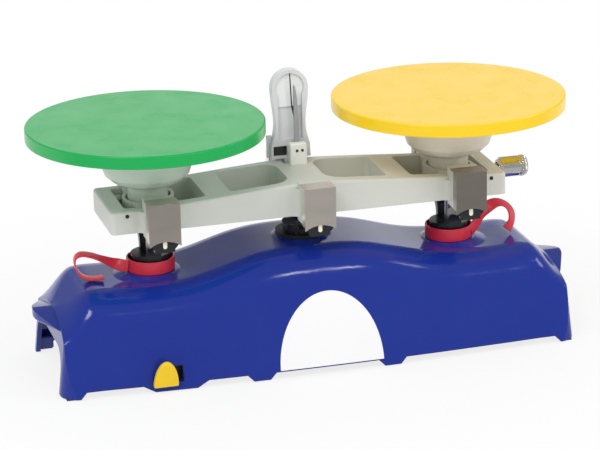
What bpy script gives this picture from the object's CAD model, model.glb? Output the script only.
import math

import bmesh
import bpy
from mathutils import Matrix, Vector


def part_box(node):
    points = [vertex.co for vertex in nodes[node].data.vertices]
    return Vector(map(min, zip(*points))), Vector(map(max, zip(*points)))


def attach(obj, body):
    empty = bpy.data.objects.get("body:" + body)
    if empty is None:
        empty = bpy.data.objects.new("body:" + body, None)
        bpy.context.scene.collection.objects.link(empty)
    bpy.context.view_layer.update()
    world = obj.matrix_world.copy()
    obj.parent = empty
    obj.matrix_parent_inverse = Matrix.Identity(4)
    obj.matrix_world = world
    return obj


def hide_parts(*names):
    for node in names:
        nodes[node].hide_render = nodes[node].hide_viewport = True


# School balance with two pans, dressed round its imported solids. Metres, in the solids' own frame.

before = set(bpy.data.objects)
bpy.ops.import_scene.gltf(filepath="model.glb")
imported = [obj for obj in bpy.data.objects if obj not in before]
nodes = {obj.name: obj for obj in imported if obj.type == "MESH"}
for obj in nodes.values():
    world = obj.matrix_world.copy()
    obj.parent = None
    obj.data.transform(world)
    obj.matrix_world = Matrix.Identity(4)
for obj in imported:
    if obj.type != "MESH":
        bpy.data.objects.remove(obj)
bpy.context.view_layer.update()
MM = 0.001
EDGE_RADIUS = 0.4 * MM


# Camera at the photograph's viewing angle

CAMERA_AZIMUTH = math.radians(-15.37)
CAMERA_ELEVATION = math.radians(18.33)
CAMERA_ROLL = math.radians(-1.246)
CAMERA_DISTANCE = 1.8104
CAMERA_TARGET = Vector((-0.0008, 0.0, 0.0820))
CAMERA_LENS = 167.32
SENSOR_WIDTH = 36.0
CAMERA_CLIP = (0.05, 50.0)


def add_camera():
    azimuth, elevation, roll = CAMERA_AZIMUTH, CAMERA_ELEVATION, CAMERA_ROLL
    level = Vector((math.cos(azimuth), math.sin(azimuth), 0.0))
    back = Vector((
        math.sin(azimuth) * math.cos(elevation),
        -math.cos(azimuth) * math.cos(elevation),
        math.sin(elevation),
    ))
    upward = back.cross(level)
    side = math.cos(roll) * level + math.sin(roll) * upward
    top = -math.sin(roll) * level + math.cos(roll) * upward
    data = bpy.data.cameras.new("camera")
    data.sensor_width = SENSOR_WIDTH
    data.lens = CAMERA_LENS
    data.clip_start, data.clip_end = CAMERA_CLIP
    camera = bpy.data.objects.new("camera", data)
    turned = Matrix((side, top, back)).transposed().to_4x4()
    camera.matrix_world = Matrix.Translation(CAMERA_TARGET + CAMERA_DISTANCE * back) @ turned
    bpy.context.scene.collection.objects.link(camera)
    bpy.context.scene.camera = camera


# Node materials

class Finish:
    """A material with a Principled shader, and short calls that add its variation."""

    def __init__(self, name, colour, roughness, metallic=0.0, edge_radius=EDGE_RADIUS, **sockets):
        self.material = bpy.data.materials.new(name)
        self.material.use_nodes = True
        self.tree = self.material.node_tree
        self.shader = self.tree.nodes["Principled BSDF"]
        self.colour = colour
        self.shader.inputs["Base Color"].default_value = (*colour, 1.0)
        self.shader.inputs["Roughness"].default_value = roughness
        self.shader.inputs["Metallic"].default_value = metallic
        for socket, value in sockets.items():
            self.shader.inputs[socket.replace("_", " ")].default_value = value
        # Edges catch the light as if broken by that radius
        edge = self.node("ShaderNodeBevel")
        edge.inputs["Radius"].default_value = edge_radius
        self.tree.links.new(edge.outputs["Normal"], self.shader.inputs["Normal"])

    def node(self, kind, links=(), **values):
        made = self.tree.nodes.new(kind)
        for attribute, value in values.items():
            setattr(made, attribute, value)
        for source, socket in links:
            self.tree.links.new(source, made.inputs[socket])
        return made

    def place(self, stretch=(1.0, 1.0, 1.0)):
        """Position on the object, stretched along its axes."""
        where = self.node("ShaderNodeTexCoord")
        mapping = self.node("ShaderNodeMapping", [(where.outputs["Object"], "Vector")])
        mapping.inputs["Scale"].default_value = stretch
        return mapping.outputs["Vector"]

    def noise(self, scale, detail=3.0, stretch=(1.0, 1.0, 1.0), distortion=0.0):
        made = self.node("ShaderNodeTexNoise", [(self.place(stretch), "Vector")])
        made.inputs["Scale"].default_value = scale
        made.inputs["Detail"].default_value = detail
        made.inputs["Distortion"].default_value = distortion
        return made.outputs["Fac"]

    def range(self, value, low, high, from_low=0.3, from_high=0.7):
        made = self.node("ShaderNodeMapRange", [(value, "Value")])
        made.inputs["From Min"].default_value = from_low
        made.inputs["From Max"].default_value = from_high
        made.inputs["To Min"].default_value = low
        made.inputs["To Max"].default_value = high
        return made.outputs["Result"]

    def tint(self, value, other, low=0.0, high=1.0, from_low=0.3, from_high=0.7):
        """Blend the colour so far towards another, from share low to share high, as value rises."""
        share = self.range(value, low, high, from_low, from_high)
        mix = self.node("ShaderNodeMix", data_type="RGBA")
        self.tree.links.new(share, mix.inputs["Factor"])
        base = self.shader.inputs["Base Color"]
        if base.is_linked:
            self.tree.links.new(base.links[0].from_socket, mix.inputs["A"])
        else:
            mix.inputs["A"].default_value = base.default_value
        mix.inputs["B"].default_value = (*other, 1.0)
        self.tree.links.new(mix.outputs["Result"], base)
        return self

    def rough(self, value, low, high, from_low=0.3, from_high=0.7):
        spread = self.range(value, low, high, from_low, from_high)
        self.tree.links.new(spread, self.shader.inputs["Roughness"])
        return self

    def bump(self, value, height, strength=1.0):
        """Relief of that height in metres; a second call adds to the first."""
        made = self.node("ShaderNodeBump", [(value, "Height")])
        made.inputs["Distance"].default_value = height
        made.inputs["Strength"].default_value = strength
        normal = self.shader.inputs["Normal"]
        if normal.is_linked:
            self.tree.links.new(normal.links[0].from_socket, made.inputs["Normal"])
        self.tree.links.new(made.outputs["Normal"], normal)
        return self


# Scales of the noise on moulded plastic: the higher, the finer
FLOW_MARKS = 14.0
SPECKS = 900.0
RUBBED_AREAS = 60.0
ORANGE_PEEL = 160.0
FINE_GRAIN = 1400.0


def moulded(name, colour, roughness, worn, orange_peel=0.00004, **sockets):
    """Injection-moulded plastic: even colour, faint flow marks, a little orange peel and fine rubbing."""
    finish = Finish(name, colour, roughness, **sockets)
    finish.tint(finish.noise(FLOW_MARKS, 4.0), worn, 0.0, 0.10)
    finish.tint(finish.noise(SPECKS, 2.0), worn, 0.0, 0.05)
    finish.rough(finish.noise(RUBBED_AREAS, 5.0, (1.0, 1.0, 2.5)), roughness * 0.8, roughness * 1.35)
    finish.bump(finish.noise(ORANGE_PEEL, 2.0), orange_peel, 0.35)
    finish.bump(finish.noise(FINE_GRAIN, 2.0), orange_peel * 0.25, 0.25)
    return finish


def brushed(name, colour, roughness, stretch, streak=0.25, **sockets):
    """Rolled or brushed metal: its streaks run across the axes with the largest stretch."""
    finish = Finish(name, colour, roughness, 1.0, **sockets)
    streaks = finish.noise(1.0, 5.0, stretch)
    darker = tuple(c * (1.0 - streak) for c in colour)
    finish.tint(streaks, darker)
    finish.tint(finish.noise(25.0, 3.0), tuple(min(1.0, c * 1.1) for c in colour), 0.0, 0.4)
    finish.rough(streaks, roughness * 0.75, roughness * 1.3)
    finish.bump(streaks, 0.00001, 0.5)
    return finish


blue_plastic = moulded(
    "blue_plastic", (0.008, 0.026, 0.268), 0.11, (0.02, 0.055, 0.33), edge_radius=1.6 * MM
)
green_plastic = moulded("green_plastic", (0.000, 0.395, 0.078), 0.22, (0.06, 0.46, 0.16))
yellow_plastic = moulded("yellow_plastic", (0.93, 0.62, 0.008), 0.22, (0.93, 0.66, 0.05))
tab_plastic = moulded("tab_plastic", (0.95, 0.62, 0.010), 0.30, (0.95, 0.66, 0.06))
left_hub_plastic = moulded("left_hub_plastic", (0.58, 0.68, 0.58), 0.28, (0.54, 0.62, 0.54))
right_hub_plastic = moulded("right_hub_plastic", (0.74, 0.70, 0.61), 0.28, (0.68, 0.64, 0.56))
tower_plastic = moulded("tower_plastic", (0.71, 0.72, 0.74), 0.42, (0.64, 0.65, 0.68))
face_plastic = moulded("face_plastic", (0.88, 0.885, 0.90), 0.5, (0.82, 0.83, 0.85))
white_plastic = moulded("white_plastic", (0.88, 0.88, 0.84), 0.4, (0.8, 0.8, 0.76))
black_paint = moulded("black_paint", (0.013, 0.017, 0.020), 0.26, (0.035, 0.04, 0.042), 0.00006)
strap_plastic = moulded("strap_plastic", (0.68, 0.026, 0.055), 0.30, (0.76, 0.08, 0.12))
ivory_plastic = moulded("ivory_plastic", (0.84, 0.79, 0.64), 0.3, (0.76, 0.7, 0.56))
nylon = moulded("nylon", (0.72, 0.70, 0.6), 0.5, (0.65, 0.63, 0.55))
label_film = moulded("label_film", (0.90, 0.90, 0.91), 0.35, (0.86, 0.86, 0.88), 0.00001)
rubber = moulded("rubber", (0.08, 0.08, 0.085), 0.8, (0.12, 0.12, 0.12), 0.00008)
grey_plastic = moulded("grey_plastic", (0.33, 0.33, 0.35), 0.4, (0.40, 0.40, 0.42))
needle_paint = moulded("needle_paint", (0.02, 0.02, 0.025), 0.4, (0.04, 0.04, 0.045))
left_clip_steel = brushed("left_clip_steel", (0.60, 0.55, 0.49), 0.34, (30.0, 30.0, 120.0), 0.08)
centre_clip_steel = brushed("centre_clip_steel", (0.80, 0.735, 0.67), 0.34, (30.0, 30.0, 120.0), 0.08)
right_clip_steel = brushed("right_clip_steel", (0.37, 0.335, 0.295), 0.34, (30.0, 30.0, 120.0), 0.08)
plain_steel = brushed("plain_steel", (0.5, 0.5, 0.51), 0.35, (40.0, 900.0, 900.0), 0.12)
ground_steel = brushed("ground_steel", (0.55, 0.55, 0.57), 0.22, (900.0, 40.0, 900.0), 0.1)
chrome = brushed("chrome", (0.80, 0.79, 0.78), 0.06, (900.0, 60.0, 60.0), 0.05)


def cast_paint():
    """Off-white powder coat on a casting: fine grain, soft waviness and slightly rubbed colour."""
    finish = Finish("beam_paint", (0.675, 0.69, 0.64), 0.40)
    finish.tint(finish.noise(18.0, 4.0), (0.61, 0.625, 0.585), 0.0, 0.5)
    finish.tint(finish.noise(1600.0, 2.0), (0.6, 0.61, 0.56), 0.0, 0.18)
    finish.rough(finish.noise(45.0, 4.0), 0.36, 0.5)
    finish.bump(finish.noise(120.0, 3.0), 0.00012, 0.3)
    finish.bump(finish.noise(1500.0, 2.0), 0.00003, 0.5)
    return finish


beam_paint = cast_paint()

finishes = {
    "base_shell": blue_plastic,
    "foot_pads": rubber,
    "front_label": label_film,
    "centre_bracket": plain_steel,
    "bracket_screws": plain_steel,
    "centre_yoke": black_paint,
    "left_yoke": black_paint,
    "right_yoke": black_paint,
    "centre_yoke_pins": ivory_plastic,
    "left_yoke_pins": ivory_plastic,
    "right_yoke_pins": ivory_plastic,
    "centre_bearings": ground_steel,
    "left_bearings": ground_steel,
    "right_bearings": ground_steel,
    "centre_knives": ground_steel,
    "left_knives": ground_steel,
    "right_knives": ground_steel,
    "beam": beam_paint,
    "left_front_clip": left_clip_steel,
    "left_rear_clip": left_clip_steel,
    "centre_front_clip": centre_clip_steel,
    "centre_rear_clip": centre_clip_steel,
    "right_front_clip": right_clip_steel,
    "right_rear_clip": right_clip_steel,
    "beam_set_screws": needle_paint,
    "tare_bar": plain_steel,
    "tare_screw": white_plastic,
    "zero_stud": plain_steel,
    "zero_bush": nylon,
    "zero_nut": chrome,
    "left_pan_hub": left_hub_plastic,
    "right_pan_hub": right_hub_plastic,
    "left_stem": plain_steel,
    "right_stem": plain_steel,
    "left_link_pin": plain_steel,
    "right_link_pin": plain_steel,
    "centre_link_pin": plain_steel,
    "centre_stud": plain_steel,
    "centre_nut": plain_steel,
    "check_link": plain_steel,
    "link_spacers": plain_steel,
    "left_stem_bush": nylon,
    "right_stem_bush": nylon,
    "left_pan": green_plastic,
    "right_pan": yellow_plastic,
    "pointer_housing": tower_plastic,
    "scale_face": face_plastic,
    "housing_screw": plain_steel,
    "housing_plug": black_paint,
    "pointer_block": white_plastic,
    "pointer_blade": grey_plastic,
    "pointer_needle": needle_paint,
    "pointer_screws": needle_paint,
    "lock_tab": tab_plastic,
    "lock_bar": black_paint,
    "left_strap": strap_plastic,
    "right_strap": strap_plastic,
}


def dress_nodes():
    for name, node in nodes.items():
        node.data.materials.clear()
        node.data.materials.append(finishes[name].material)


# Transit straps: a ribbon with a round collar and a curled tail

RIBBON_HALF_WIDTH = 3.9 * MM
RIBBON_HALF_THICKNESS = 0.65 * MM
COLLAR_RADIUS = 15.05 * MM
COLLAR_HALF_HEIGHT = 4.3 * MM
COLLAR_MIDDLE = 68.3 * MM
COLLAR_STEPS = 96
COLLAR_WAVE = 0.12 * MM
COLLAR_WAVES = 3
COLLAR_WAVE_START = 0.7
SECTION_STEPS = 16
STEPS_PER_SPAN = 8
# Powers below 1 make a section squarer than an ellipse, across the ribbon and through it
ACROSS_POWER = 0.3
THROUGH_POWER = 0.7
SHARP_ANGLE = math.radians(38.0)

# Centre line in millimetres, and the direction of the ribbon's width at each point
LEFT_TAIL = [
    ((-116.4, -5.0, 68.6), (0.0, 0.1, 1.0)), ((-120.7, -3.0, 69.2), (0.0, 0.4, 1.0)),
    ((-126.5, -1.0, 71.0), (0.2, 0.9, 0.6)), ((-132.9, -1.0, 74.1), (0.1, 1.0, 0.3)),
    ((-139.3, -1.0, 77.1), (0.0, 1.0, 0.2)), ((-145.7, -1.0, 78.6), (0.0, 1.0, 0.1)),
    ((-149.7, -1.5, 76.9), (0.1, 1.0, 0.0)), ((-150.5, -2.0, 73.0), (0.1, 1.0, 0.0)),
    ((-148.4, -3.5, 67.6), (0.1, 1.0, 0.0)), ((-144.5, -6.0, 64.6), (0.1, 1.0, 0.0)),
    ((-138.6, -8.0, 63.9), (0.1, 1.0, 0.0)), ((-133.6, -8.5, 64.3), (0.1, 1.0, 0.0)),
]
RIGHT_TAIL = [
    ((112.6, -9.6, 68.8), (0.0, 0.0, 1.0)), ((116.6, -7.4, 71.6), (-0.3, -0.1, 0.9)),
    ((121.3, -6.0, 77.8), (-0.6, -0.3, 0.7)), ((127.0, -4.5, 82.4), (-0.4, 0.4, 0.7)),
    ((133.6, -3.5, 84.3), (0.0, 0.9, 0.45)), ((139.6, -3.5, 81.9), (0.4, 0.9, 0.2)),
    ((143.2, -3.8, 76.4), (0.7, 0.7, 0.0)), ((143.1, -4.4, 70.6), (0.8, 0.6, -0.1)),
    ((139.6, -6.0, 65.6), (0.85, 0.2, -0.5)),
]


def smooth_line(points):
    """Points of a curve that passes through those given."""
    padded = [points[0] * 2 - points[1]] + points + [points[-1] * 2 - points[-2]]
    line = []
    for a, b, c, d in zip(padded, padded[1:], padded[2:], padded[3:]):
        for step in range(STEPS_PER_SPAN):
            t = step / STEPS_PER_SPAN
            square_term = (2 * a - 5 * b + 4 * c - d) * t**2
            cube_term = (3 * b - a - 3 * c + d) * t**3
            line.append(0.5 * (2 * b + (c - a) * t + square_term + cube_term))
    line.append(points[-1])
    return line


def rounded_section(half_width, half_thickness):
    """Outline of a flat ribbon with soft edges."""
    corners = []
    for step in range(SECTION_STEPS):
        angle = 2 * math.pi * step / SECTION_STEPS
        across, through = math.cos(angle), math.sin(angle)
        corners.append((
            math.copysign(abs(across) ** ACROSS_POWER, across) * half_width,
            math.copysign(abs(through) ** THROUGH_POWER, through) * half_thickness,
        ))
    return corners


def add_ribbon(mesh, centres, widths, section, closed):
    """Carry the section along the centre line; a closed line joins up with its start."""
    rings = []
    count = len(centres)
    for index, centre in enumerate(centres):
        after = centres[(index + 1) % count] if closed else centres[min(index + 1, count - 1)]
        before = centres[index - 1] if closed else centres[max(index - 1, 0)]
        tangent = (after - before).normalized()
        width = widths[index] - tangent * widths[index].dot(tangent)
        width.normalize()
        normal = tangent.cross(width)
        rings.append([mesh.verts.new(centre + width * u + normal * v) for u, v in section])
    pairs = list(zip(rings, rings[1:])) + ([(rings[-1], rings[0])] if closed else [])
    for near, far in pairs:
        for k in range(len(section)):
            mesh.faces.new((near[k - 1], near[k], far[k], far[k - 1]))
    if not closed:
        mesh.faces.new(rings[0])
        mesh.faces.new(rings[-1][::-1])


def finished_piece(name, mesh, finish, body, replaced):
    bmesh.ops.recalc_face_normals(mesh, faces=mesh.faces)
    data = bpy.data.meshes.new(name)
    mesh.to_mesh(data)
    mesh.free()
    for face in data.polygons:
        face.use_smooth = True
    data.set_sharp_from_angle(angle=SHARP_ANGLE)
    data.materials.append(finish.material)
    piece = bpy.data.objects.new(name, data)
    bpy.context.scene.collection.objects.link(piece)
    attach(piece, body)
    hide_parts(replaced)


def add_strap(side, tail):
    low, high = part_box(f"{side}_stem_bush")
    centre_x = (low[0] + high[0]) / 2
    mesh = bmesh.new()
    circle = []
    for step in range(COLLAR_STEPS):
        angle = 2 * math.pi * step / COLLAR_STEPS
        wave = COLLAR_WAVE * math.sin(COLLAR_WAVES * angle + COLLAR_WAVE_START)
        circle.append(Vector((
            centre_x + (COLLAR_RADIUS + wave) * math.cos(angle),
            (COLLAR_RADIUS + wave) * math.sin(angle),
            COLLAR_MIDDLE,
        )))
    upright = [Vector((0.0, 0.0, 1.0))] * COLLAR_STEPS
    add_ribbon(mesh, circle, upright, rounded_section(COLLAR_HALF_HEIGHT, RIBBON_HALF_THICKNESS), True)
    line = smooth_line([Vector(point) * MM for point, width in tail])
    widths = smooth_line([Vector(width) for point, width in tail])
    add_ribbon(mesh, line, widths, rounded_section(RIBBON_HALF_WIDTH, RIBBON_HALF_THICKNESS), False)
    finished_piece(f"{side}_strap_ribbon", mesh, strap_plastic, "base", f"{side}_strap")


# Zero nut: polished barrel and a ribbed, rounded outer end

NUT_AXIS_HEIGHT = 107.0 * MM
NUT_RIBS = 30
STEPS_PER_RIB = 8
RIB_DEPTH = 0.06
# Distance along the beam and radius in millimetres, then 1 where the surface is ribbed: from the blind
# end of the bore, out along the bore, over the outside and back to the axis at the outer end
NUT_OUTLINE = [
    (150.0, 0.0, 0), (150.0, 4.05, 0), (134.6, 4.05, 0), (134.6, 5.4, 0), (134.8, 5.6, 0), (136.4, 5.6, 0),
    (136.4, 6.7, 0), (136.7, 7.0, 0), (148.3, 7.0, 0), (148.6, 6.7, 0), (148.6, 6.4, 0), (149.6, 6.4, 0),
    (149.6, 6.8, 1), (149.9, 7.0, 1), (151.4, 7.0, 1), (152.6, 6.95, 1), (153.6, 6.6, 1), (154.4, 5.9, 1),
    (154.8, 4.9, 0), (154.9, 3.8, 0), (154.9, 0.0, 0),
]


def add_nut():
    mesh = bmesh.new()
    segments = STEPS_PER_RIB * NUT_RIBS
    rings = []
    for along, radius, ribbed in NUT_OUTLINE:
        if radius == 0.0:
            rings.append([mesh.verts.new((along * MM, 0.0, NUT_AXIS_HEIGHT))] * segments)
            continue
        ring = []
        for step in range(segments):
            angle = 2 * math.pi * step / segments
            groove = RIB_DEPTH * ribbed * (0.5 - 0.5 * math.cos(NUT_RIBS * angle)) ** 2
            reach = radius * MM * (1.0 - groove)
            ring.append(mesh.verts.new((
                along * MM, reach * math.cos(angle), NUT_AXIS_HEIGHT + reach * math.sin(angle)
            )))
        rings.append(ring)
    for near, far in zip(rings, rings[1:]):
        for k in range(segments):
            corners = []
            for corner in (near[k - 1], near[k], far[k], far[k - 1]):
                if corner not in corners:
                    corners.append(corner)
            mesh.faces.new(corners)
    finished_piece("ribbed_zero_nut", mesh, chrome, "zero_nut", "zero_nut")


# Floor, surroundings and lamps

DIFFUSE_LEVEL = 0.80
FRONT_LEVEL = 0.34
# Direction of the backdrop, the cosines off it between which it appears, and the heights of a ray's
# direction between which it ends
BACKDROP = (0.31, 0.95, 0.0)
BACKDROP_EDGE = (0.78, 0.91)
BACKDROP_TOP = (0.285, 0.40)

FLOOR_HALF = 4.0
# Distance from the origin over which the camera sees the floor turn white, and its share of white inside
WHITE_DISTANCE = (0.18, 0.40)
NEAR_WHITENESS = 0.80
# Places along Y between which the floor's glow, as gloss sees it, rises from its front level to full
GLOW_DEPTH = (-0.12, 0.10)
FRONT_GLOW = 0.46

LAMP_TARGET = Vector((0.0, 0.0, 0.08))


def light_path(tree, *rays):
    """1 for a ray of any of those kinds."""
    path = tree.nodes.new("ShaderNodeLightPath")
    total = path.outputs[rays[0]]
    for ray in rays[1:]:
        either = tree.nodes.new("ShaderNodeMath")
        either.operation = "MAXIMUM"
        tree.links.new(total, either.inputs[0])
        tree.links.new(path.outputs[ray], either.inputs[1])
        total = either.outputs[0]
    return total


def remap(tree, value, span, low, high):
    """Low to high, smoothly, as value crosses the span."""
    made = tree.nodes.new("ShaderNodeMapRange")
    made.interpolation_type = "SMOOTHSTEP"
    tree.links.new(value, made.inputs["Value"])
    made.inputs["From Min"].default_value = span[0]
    made.inputs["From Max"].default_value = span[1]
    made.inputs["To Min"].default_value = low
    made.inputs["To Max"].default_value = high
    return made.outputs["Result"]


def choose(tree, flag, off, on):
    """Off or on, either of which may be a number or an output."""
    mix = tree.nodes.new("ShaderNodeMix")
    tree.links.new(flag, mix.inputs["Factor"])
    for socket, value in (("A", off), ("B", on)):
        if isinstance(value, float):
            mix.inputs[socket].default_value = value
        else:
            tree.links.new(value, mix.inputs[socket])
    return mix.outputs["Result"]


def add_surroundings():
    """A white backdrop behind the object, dimmer surroundings in front as gloss sees them."""
    world = bpy.data.worlds.new("studio")
    world.use_nodes = True
    tree = world.node_tree
    background = tree.nodes["Background"]
    where = tree.nodes.new("ShaderNodeTexCoord")
    facing = tree.nodes.new("ShaderNodeVectorMath")
    facing.operation = "DOT_PRODUCT"
    tree.links.new(where.outputs["Generated"], facing.inputs[0])
    facing.inputs[1].default_value = BACKDROP
    split = tree.nodes.new("ShaderNodeSeparateXYZ")
    tree.links.new(where.outputs["Generated"], split.inputs[0])
    # The backdrop is white up to some height, and the studio above and around it is dimmer
    behind = remap(tree, facing.outputs["Value"], BACKDROP_EDGE, 0.0, 1.0)
    below = remap(tree, split.outputs["Z"], BACKDROP_TOP, 1.0, 0.0)
    covered = tree.nodes.new("ShaderNodeMath")
    covered.operation = "MULTIPLY"
    tree.links.new(behind, covered.inputs[0])
    tree.links.new(below, covered.inputs[1])
    shine = choose(tree, covered.outputs[0], FRONT_LEVEL, 1.0)
    level = choose(tree, light_path(tree, "Is Glossy Ray", "Is Transmission Ray"), DIFFUSE_LEVEL, shine)
    level = choose(tree, light_path(tree, "Is Camera Ray"), level, 1.0)
    tree.links.new(level, background.inputs["Strength"])
    background.inputs["Color"].default_value = (1.0, 1.0, 1.0, 1.0)
    world.cycles.sampling_method = "NONE"
    bpy.context.scene.world = world


def add_floor():
    """White paper that keeps a faint shadow close to the object."""
    corners = [(x * FLOOR_HALF, y * FLOOR_HALF, 0.0) for x, y in ((-1, -1), (1, -1), (1, 1), (-1, 1))]
    mesh = bpy.data.meshes.new("floor")
    mesh.from_pydata(corners, [], [(0, 1, 2, 3)])
    floor = bpy.data.objects.new("floor", mesh)
    bpy.context.scene.collection.objects.link(floor)
    finish = Finish("floor_paper", (0.88, 0.88, 0.885), 0.8)
    tree = finish.tree
    where = finish.node("ShaderNodeTexCoord")
    distance = finish.node("ShaderNodeVectorMath", [(where.outputs["Object"], 0)], operation="LENGTH")
    split = finish.node("ShaderNodeSeparateXYZ", [(where.outputs["Object"], 0)])
    camera = light_path(tree, "Is Camera Ray")
    shiny = light_path(tree, "Is Glossy Ray", "Is Transmission Ray")
    whiteness = remap(tree, distance.outputs["Value"], WHITE_DISTANCE, NEAR_WHITENESS, 1.0)
    share = choose(tree, shiny, choose(tree, camera, 0.0, whiteness), 1.0)
    glow_level = remap(tree, split.outputs["Y"], GLOW_DEPTH, FRONT_GLOW, 1.0)
    strength = choose(tree, camera, glow_level, 1.0)
    glow = finish.node("ShaderNodeEmission", [(strength, "Strength")])
    glow.inputs["Color"].default_value = (1.0, 1.0, 1.0, 1.0)
    paper = finish.shader.outputs[0]
    mix = finish.node("ShaderNodeMixShader", [(share, 0), (paper, 1), (glow.outputs[0], 2)])
    tree.links.new(mix.outputs[0], tree.nodes["Material Output"].inputs["Surface"])
    mesh.materials.append(finish.material)


def add_lamp(name, place, size, watts):
    data = bpy.data.lights.new(name, "AREA")
    data.shape = "RECTANGLE"
    data.size, data.size_y = size
    data.energy = watts
    lamp = bpy.data.objects.new(name, data)
    lamp.location = place
    lamp.rotation_mode = "QUATERNION"
    lamp.rotation_quaternion = (LAMP_TARGET - Vector(place)).to_track_quat("-Z", "Y")
    bpy.context.scene.collection.objects.link(lamp)


dress_nodes()
add_strap("left", LEFT_TAIL)
add_strap("right", RIGHT_TAIL)
add_nut()
add_camera()
add_surroundings()
add_floor()
add_lamp("key_lamp", (-0.9, -0.9, 1.5), (0.7, 0.5), 9.5)
add_lamp("fill_lamp", (1.3, -0.6, 1.1), (0.6, 0.6), 5.0)
add_lamp("window_lamp_left", (0.265, -1.2, 0.89), (0.17, 0.10), 0.7)
add_lamp("window_lamp_right", (0.485, -1.2, 0.89), (0.17, 0.10), 0.7)

bpy.context.scene.view_settings.view_transform = "Standard"
